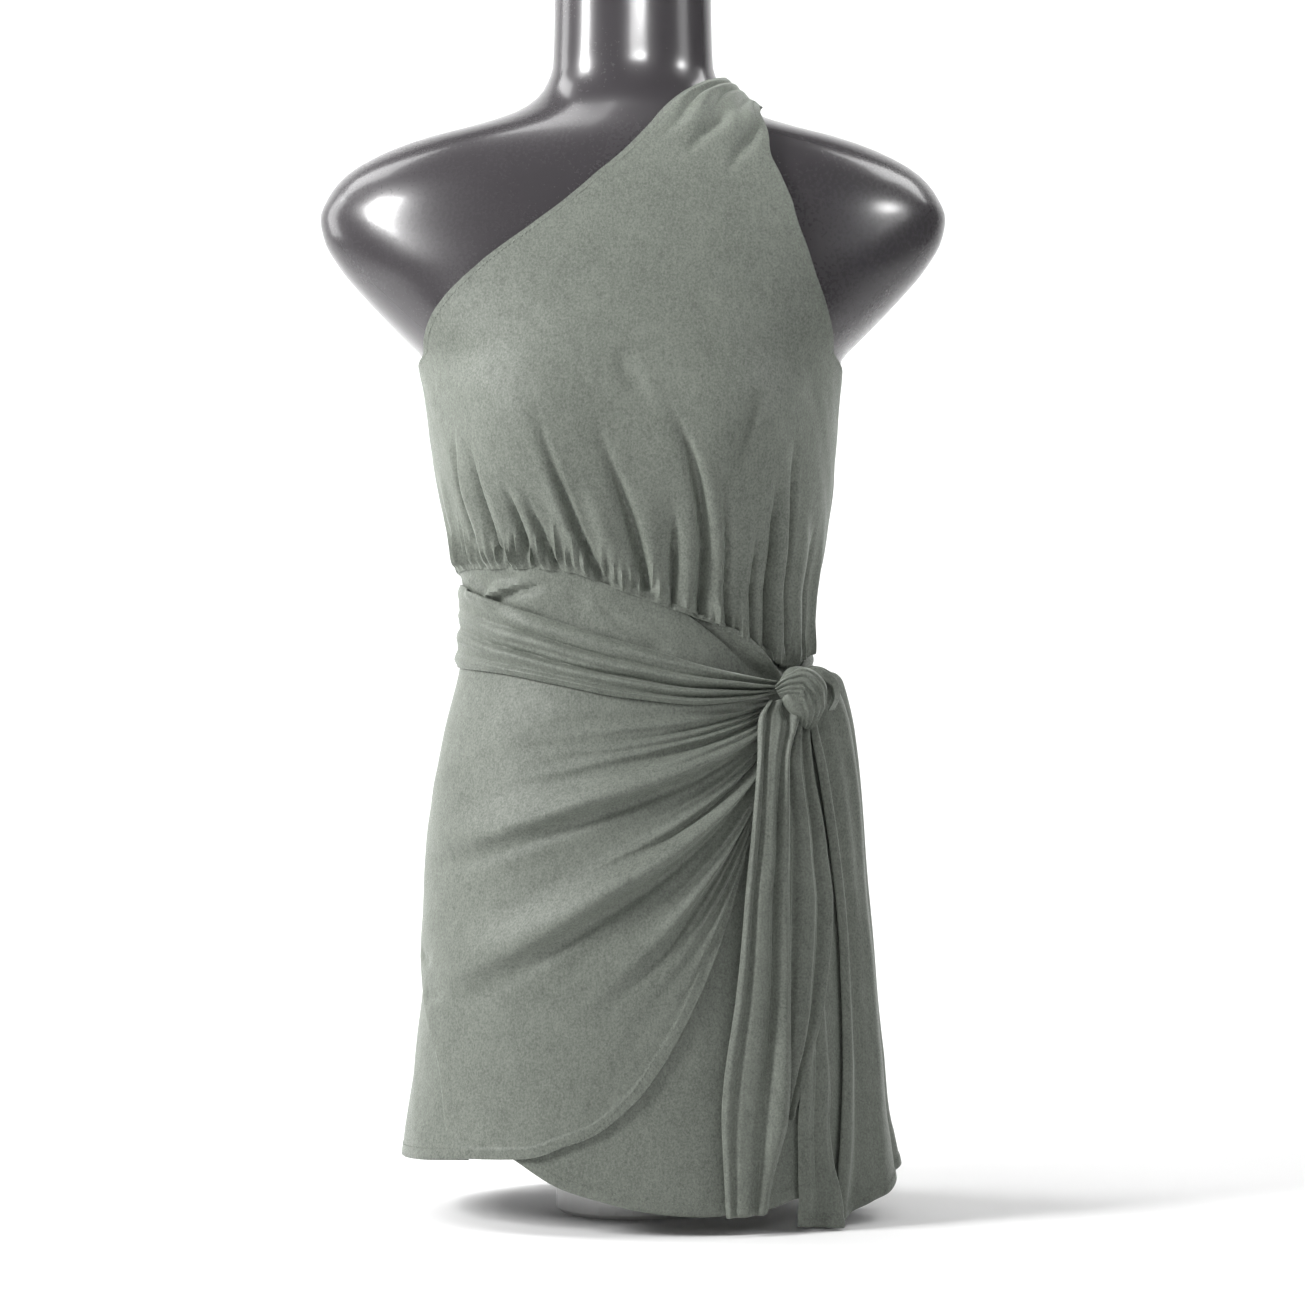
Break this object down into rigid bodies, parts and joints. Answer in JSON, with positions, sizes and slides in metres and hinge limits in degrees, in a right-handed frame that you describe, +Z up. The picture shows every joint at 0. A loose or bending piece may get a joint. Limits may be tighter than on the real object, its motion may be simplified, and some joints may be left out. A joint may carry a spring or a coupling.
{
  "type": "one-shoulder dress on a dress form",
  "caption": "One-shoulder wrap dress of brushed jersey with a tie knotted at the hip, worn on a glossy limbless dress form",
  "frame": {"origin": "centre of the underside of the foot, on the surface that the form stands on", "axes": "+Z up along the body, the longest extent; the front of the dress faces -Y; +X is the wearer's left, the side of the shoulder strap and the knot"},
  "size_m": [0.4246, 0.252, 0.838],
  "materials": {
    "jersey": "brushed, soft sheen",
    "form_plastic": "gloss",
    "foot_plastic": "satin"
  },
  "bodies": {
    "root": {"dress_form": "form_plastic", "form_foot": "foot_plastic", "bodice_front": "jersey", "bodice_back": "jersey", "skirt_back": "jersey", "skirt_under": "jersey", "skirt_wrap": "jersey", "sash": "jersey", "sash_knot": "jersey", "tail_front": "jersey", "tail_middle": "jersey", "tail_lower": "jersey", "tail_side": "jersey"}
  },
  "joints": []
}
